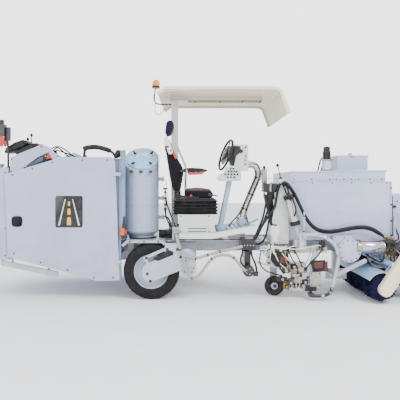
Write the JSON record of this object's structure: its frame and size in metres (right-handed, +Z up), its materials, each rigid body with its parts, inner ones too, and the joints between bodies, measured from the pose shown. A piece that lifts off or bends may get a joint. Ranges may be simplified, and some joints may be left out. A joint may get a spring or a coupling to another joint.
{
  "type": "line striping machine",
  "caption": "Ride-on road-marking machine with heated paint kettle, glass bead tank, liftable paint carriage, rotary sweeping brush, operator's seat and canopy.",
  "frame": {"origin": "on the ground, under the middle of the whole machine's box", "axes": "+X forward, +Y to the machine's left, +Z up"},
  "size_m": [5.9039, 2.03, 2.802],
  "materials": {
    "panel_paint": "semi-gloss lilac grey enamel",
    "frame_paint": "semi-gloss grey enamel",
    "arm_paint": "semi-gloss pale blue-grey enamel",
    "cabinet_paint": "satin pale grey-green enamel",
    "floor_paint": "satin steel-blue enamel",
    "column_paint": "satin blue-grey enamel",
    "lid_paint": "gloss pale blue enamel",
    "tank_paint": "semi-gloss lilac grey enamel",
    "engine_paint": "dark painted casting",
    "engine_alloy": "cast alloy engine",
    "radiator_fins": "black finned core",
    "stainless": "brushed stainless",
    "bright_steel": "polished steel",
    "black_steel": "satin black enamel",
    "brass": "worn brass",
    "tyre": "black road tyre",
    "solid_rubber": "black solid rubber",
    "hose_black": "black rubber hose",
    "hose_grey": "grey lagged hose",
    "seat_fabric": "dark woven seat cloth",
    "headrest_fabric": "navy woven cloth",
    "black_plastic": "matte black moulding",
    "red_plastic": "gloss red moulding",
    "amber_lens": "amber translucent lens",
    "signal_lens": "red and amber translucent lenses",
    "roof_plastic": "glass-fibre moulding with gel coat",
    "kettle_paint": "semi-gloss lilac grey enamel",
    "bristle": "blue nylon bristles",
    "brush_case": "semi-gloss cream enamel"
  },
  "bodies": {
    "machine": {"chassis_rails": "frame_paint", "frame_members": "frame_paint", "rear_deck": "frame_paint", "rear_wheel_arms": "arm_paint", "engine_housing": "panel_paint", "engine_block": "engine_alloy", "radiator": "radiator_fins", "muffler": "stainless", "air_cleaner": "black_plastic", "oil_tank": "panel_paint", "lamp_posts": "black_steel", "signal_lenses": "signal_lens", "bead_tank": "tank_paint", "tank_fittings": "brass", "seat_cabinet": "cabinet_paint", "seat_bellows": "solid_rubber", "footplate": "floor_paint", "steering_column": "column_paint", "control_box": "cabinet_paint", "canopy_shell": "roof_plastic", "canopy_frame": "frame_paint", "beacon_base": "black_steel", "beacon_lens": "amber_lens", "kettle": "kettle_paint", "kettle_covers": "kettle_paint", "stirrer_motor": "black_steel", "material_pump": "stainless", "hydraulic_valves": "black_steel", "carriage_tower": "cabinet_paint", "lift_cylinder": "stainless", "front_cabinet": "panel_paint", "black_hoses": "hose_black", "grey_hoses": "hose_grey"},
    "rear_wheel_right": {"rear_wheel_right": "tyre"},
    "rear_wheel_left": {"rear_wheel_left": "tyre"},
    "front_wheel_right": {"front_wheel_right": "tyre"},
    "front_wheel_left": {"front_wheel_left": "tyre"},
    "knuckle_right": {"knuckle_right": "engine_paint"},
    "knuckle_left": {"knuckle_left": "engine_paint"},
    "tie_rod": {"tie_rod": "black_steel"},
    "engine_door": {"engine_door": "panel_paint"},
    "cooling_fan": {"cooling_fan": "black_plastic"},
    "bead_tank_lid": {"bead_tank_lid": "lid_paint"},
    "suspension": {"suspension_plate": "black_steel"},
    "seat_slide": {"seat_pan": "black_steel", "seat_cushion": "seat_fabric"},
    "seat_back": {"seat_back": "seat_fabric"},
    "headrest": {"headrest": "headrest_fabric"},
    "armrest": {"armrest": "black_plastic"},
    "pedal": {"pedal": "black_steel"},
    "stop_button": {"stop_button": "red_plastic"},
    "steering_wheel": {"steering_wheel": "black_plastic"},
    "hopper_lid": {"hopper_lid": "kettle_paint"},
    "stirrer": {"stirrer": "stainless"},
    "valve_lever": {"valve_lever": "bright_steel"},
    "carriage": {"carriage_frame": "cabinet_paint"},
    "gauge_wheel": {"gauge_wheel": "solid_rubber"},
    "spray_shoe": {"spray_shoe": "stainless"},
    "brush_arm": {"brush_arm": "brush_case"},
    "brush_roller": {"brush_roller": "bristle"}
  },
  "joints": [
    {"name": "rear_spin_right", "type": "hinge", "parent": "machine", "child": "rear_wheel_right", "pos_m": [-0.874, -0.6075, 0.34], "axis": [0, 1, 0], "continuous": true},
    {"name": "rear_spin_left", "type": "hinge", "parent": "machine", "child": "rear_wheel_left", "pos_m": [-0.874, 0.8775, 0.34], "axis": [0, 1, 0], "continuous": true},
    {"name": "steer_right", "type": "hinge", "parent": "machine", "child": "knuckle_right", "pos_m": [2.448, -0.43, 0.34], "axis": [0, 0, 1], "range_deg": [-30, 30]},
    {"name": "steer_left", "type": "hinge", "parent": "machine", "child": "knuckle_left", "pos_m": [2.448, 0.7, 0.34], "axis": [0, 0, 1], "range_deg": [-30, 30]},
    {"name": "tie_rod_pivot", "type": "hinge", "parent": "knuckle_right", "child": "tie_rod", "pos_m": [2.298, -0.43, 0.235], "axis": [0, 0, 1], "range_deg": [-30, 30]},
    {"name": "front_spin_right", "type": "hinge", "parent": "knuckle_right", "child": "front_wheel_right", "pos_m": [2.448, -0.6075, 0.34], "axis": [0, 1, 0], "continuous": true},
    {"name": "front_spin_left", "type": "hinge", "parent": "knuckle_left", "child": "front_wheel_left", "pos_m": [2.448, 0.8775, 0.34], "axis": [0, 1, 0], "continuous": true},
    {"name": "steering_wheel_turn", "type": "hinge", "parent": "machine", "child": "steering_wheel", "pos_m": [0.045, -0.365, 1.762], "axis": [-0.9213, -0.2127, 0.3256], "range_deg": [-360, 360]},
    {"name": "engine_door_hinge", "type": "hinge", "parent": "machine", "child": "engine_door", "pos_m": [-1.246, -0.727, 1], "axis": [0, 0, 1], "range_deg": [0, 100]},
    {"name": "fan_spin", "type": "hinge", "parent": "machine", "child": "cooling_fan", "pos_m": [-2.38, 0.135, 1.09], "axis": [1, 0, 0], "continuous": true},
    {"name": "bead_lid_lift", "type": "slide", "parent": "machine", "child": "bead_tank_lid", "axis": [0, -0.5793, 0.8151], "range_m": [0, 0.12]},
    {"name": "seat_suspension", "type": "slide", "parent": "machine", "child": "suspension", "axis": [0, 0, 1], "range_m": [-0.05, 0], "stiffness_N_per_m": 12000, "springref_m": 0.13, "deforming": ["seat_bellows"]},
    {"name": "seat_fore_aft", "type": "slide", "parent": "suspension", "child": "seat_slide", "axis": [1, 0, 0], "range_m": [-0.02, 0.1]},
    {"name": "seat_recline", "type": "hinge", "parent": "seat_slide", "child": "seat_back", "pos_m": [-0.56, -0.365, 1.275], "axis": [0, 1, 0], "range_deg": [-6, 15]},
    {"name": "headrest_height", "type": "slide", "parent": "seat_back", "child": "headrest", "axis": [-0.1564, 0, 0.9877], "range_m": [0, 0.05]},
    {"name": "armrest_fold", "type": "hinge", "parent": "seat_back", "child": "armrest", "pos_m": [-0.512, -0.64, 1.54], "axis": [0, 1, 0], "range_deg": [-90, 0]},
    {"name": "pedal_press", "type": "hinge", "parent": "machine", "child": "pedal", "pos_m": [0.352, -0.51, 0.906], "axis": [0, 1, 0], "range_deg": [0, 15], "stiffness_Nm_per_rad": 6, "springref_deg": -20.05},
    {"name": "stop_button_press", "type": "slide", "parent": "machine", "child": "stop_button", "axis": [0, 1, 0], "range_m": [0, 0.006], "stiffness_N_per_m": 900, "springref_m": -0.004},
    {"name": "hopper_lid_hinge", "type": "hinge", "parent": "machine", "child": "hopper_lid", "pos_m": [1.944, 0.1175, 1.766], "axis": [0, 1, 0], "range_deg": [0, 100]},
    {"name": "stirrer_spin", "type": "hinge", "parent": "machine", "child": "stirrer", "pos_m": [1.422, -0.015, 0.9], "axis": [0, 0, 1], "continuous": true},
    {"name": "valve_lever_tilt", "type": "hinge", "parent": "machine", "child": "valve_lever", "pos_m": [0.722, -0.5, 1.44], "axis": [0, 1, 0], "range_deg": [-15, 15]},
    {"name": "carriage_lift", "type": "slide", "parent": "machine", "child": "carriage", "axis": [-0.2453, 0, 0.9694], "range_m": [0, 0.15]},
    {"name": "gauge_spin", "type": "hinge", "parent": "carriage", "child": "gauge_wheel", "pos_m": [0.644, -0.465, 0.122], "axis": [0, 1, 0], "continuous": true},
    {"name": "shoe_lift", "type": "slide", "parent": "carriage", "child": "spray_shoe", "axis": [0, 0, 1], "range_m": [0, 0.04]},
    {"name": "brush_lift", "type": "hinge", "parent": "machine", "child": "brush_arm", "pos_m": [1.96, -0.25, 0.45], "axis": [0, 1, 0], "range_deg": [0, 15]},
    {"name": "brush_spin", "type": "hinge", "parent": "brush_arm", "child": "brush_roller", "pos_m": [1.835, -0.25, 0.177], "axis": [0, 1, 0], "continuous": true}
  ],
  "couplings": [
    {"joint": "steer_left", "follows": "steer_right", "ratio": 1},
    {"joint": "tie_rod_pivot", "follows": "steer_right", "ratio": -1},
    {"joint": "steering_wheel_turn", "follows": "steer_right", "ratio": 12}
  ]
}
